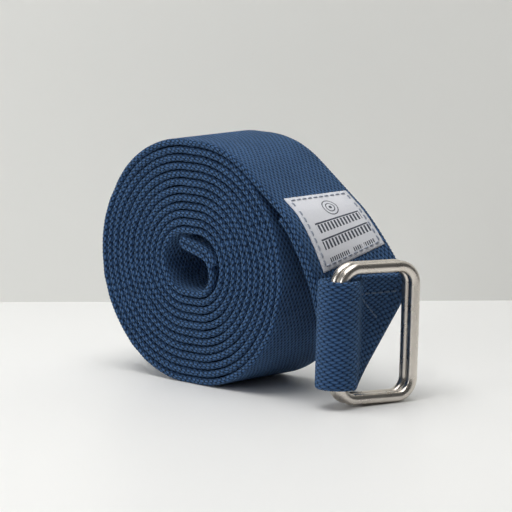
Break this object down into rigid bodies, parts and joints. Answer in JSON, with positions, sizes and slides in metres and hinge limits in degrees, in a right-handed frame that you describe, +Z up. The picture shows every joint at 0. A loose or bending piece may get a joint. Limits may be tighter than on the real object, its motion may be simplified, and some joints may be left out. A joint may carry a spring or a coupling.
{
  "type": "stretching strap",
  "caption": "Flat woven stretching strap rolled up on edge, its sewn end folded over beside the roll and looped round a pair of metal cinch rings.",
  "frame": {"origin": "on the table under the roll's axis, midway across the webbing", "axes": "+X across the roll's round face towards the sewn end and rings, +Y along the roll's axis, +Z up"},
  "size_m": [0.1263, 0.0505, 0.0883],
  "materials": {
    "webbing": "woven cotton, matt",
    "webbing_thread": "sewing thread, slight sheen",
    "label": "smooth woven label, matt",
    "label_thread": "sewing thread, slight sheen",
    "ring_metal": "satin nickel plate"
  },
  "bodies": {
    "webbing": {"webbing_roll": "webbing", "webbing_end": "webbing", "label": "label", "label_needle_thread": "label_thread", "label_bobbin_thread": "webbing_thread", "tab_needle_thread": "webbing_thread", "tab_bobbin_thread": "webbing_thread", "hem_needle_thread": "webbing_thread", "hem_bobbin_thread": "webbing_thread"},
    "back_ring": {"ring_back": "ring_metal"},
    "front_ring": {"ring_front": "ring_metal"}
  },
  "joints": [
    {"name": "ring_pair_swing", "type": "hinge", "parent": "webbing", "child": "back_ring", "pos_m": [0.068, -0.0128, 0.02583], "axis": [-0.0043, -0.0346, -0.9994], "range_deg": [-1, 100]},
    {"name": "front_ring_swing", "type": "hinge", "parent": "back_ring", "child": "front_ring", "pos_m": [0.07009, -0.01328, 0.02583], "axis": [-0.0043, -0.0346, -0.9994], "range_deg": [0, 90]}
  ]
}
